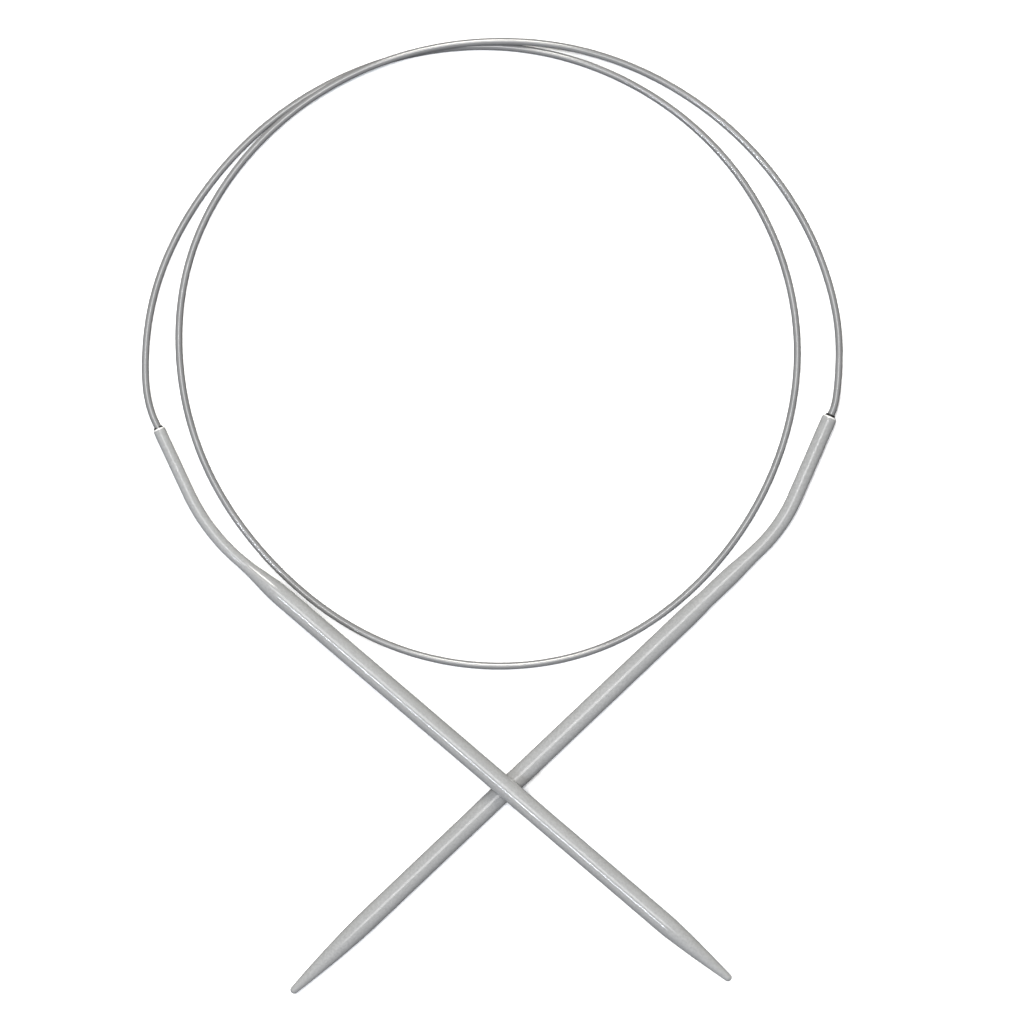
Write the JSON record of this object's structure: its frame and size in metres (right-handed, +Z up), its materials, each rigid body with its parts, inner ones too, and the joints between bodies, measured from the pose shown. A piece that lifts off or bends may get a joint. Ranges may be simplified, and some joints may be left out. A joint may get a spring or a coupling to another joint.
{
  "type": "circular knitting needle",
  "caption": "Two bent-necked coated metal needle tips with tapered points, joined end to end by a thin nylon cable that lies in overlapping loops.",
  "frame": {"origin": "on the table, midway between the ends of the two needles as they lie crossed", "axes": "+X from the left needle's neck towards the right one's, +Y away from the points towards the cable's loop, +Z up from the table"},
  "size_m": [0.1194, 0.1625, 0.009],
  "materials": {
    "needle_coating": "satin pale grey coating on aluminium, with a bare bright lip at the mouth",
    "adhesive": "set dark adhesive",
    "cable_nylon": "glossy grey nylon monofilament"
  },
  "bodies": {
    "right_tip": {"right_needle": "needle_coating", "right_adhesive": "adhesive", "right_cable_end": "cable_nylon"},
    "loop": {"cable_loop": "cable_nylon"},
    "left_lead": {"left_cable_lead": "cable_nylon"},
    "left_tip": {"left_needle": "needle_coating", "left_adhesive": "adhesive", "left_cable_end": "cable_nylon"}
  },
  "joints": [
    {"name": "right_swing", "type": "hinge", "parent": "right_tip", "child": "loop", "pos_m": [0.058, 0.05109, 0.00175], "axis": [0, 0, 1], "range_deg": [-15, 0], "stiffness_Nm_per_rad": 0.005},
    {"name": "left_swing", "type": "hinge", "parent": "loop", "child": "left_lead", "pos_m": [-0.0596, 0.05781, 0.0006], "axis": [0, 0, 1], "range_deg": [-20, 0], "stiffness_Nm_per_rad": 0.005},
    {"name": "left_lift", "type": "hinge", "parent": "left_lead", "child": "left_tip", "pos_m": [-0.05868, 0.04987, 0.00086], "axis": [-0.6481, -0.7615, 0], "range_deg": [0, 45], "stiffness_Nm_per_rad": 0.005}
  ]
}
